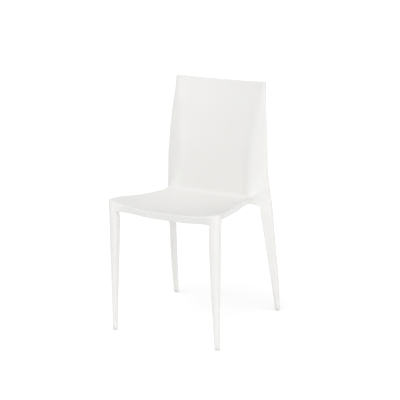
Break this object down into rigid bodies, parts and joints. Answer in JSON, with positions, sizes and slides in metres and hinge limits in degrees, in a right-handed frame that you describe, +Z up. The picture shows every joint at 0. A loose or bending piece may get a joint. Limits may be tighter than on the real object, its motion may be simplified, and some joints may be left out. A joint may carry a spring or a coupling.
{
  "type": "stacking chair",
  "caption": "Armless stacking chair moulded in one piece, with a dished seat, a thin concave back whose folded sides run on into the rear legs, and tapering legs.",
  "frame": {"origin": "on the floor, under the middle of the chair's width and of its whole depth", "axes": "+Z up, the chair faces -Y; left in a node name is -X and right is +X, as seen by a person in front of the chair"},
  "size_m": [0.4314, 0.4657, 0.8203],
  "materials": {
    "shell": "matt, lightly textured warm white polypropylene",
    "glide": "satin grey polyethylene",
    "pad": "soft matt grey elastomer"
  },
  "bodies": {
    "root": {"chair_shell": "shell", "glide_front_left": "glide", "glide_front_right": "glide", "glide_rear_left": "glide", "glide_rear_right": "glide", "stack_pad_front_left": "pad", "stack_pad_front_right": "pad", "stack_pad_rear_left": "pad", "stack_pad_rear_right": "pad"}
  },
  "joints": []
}
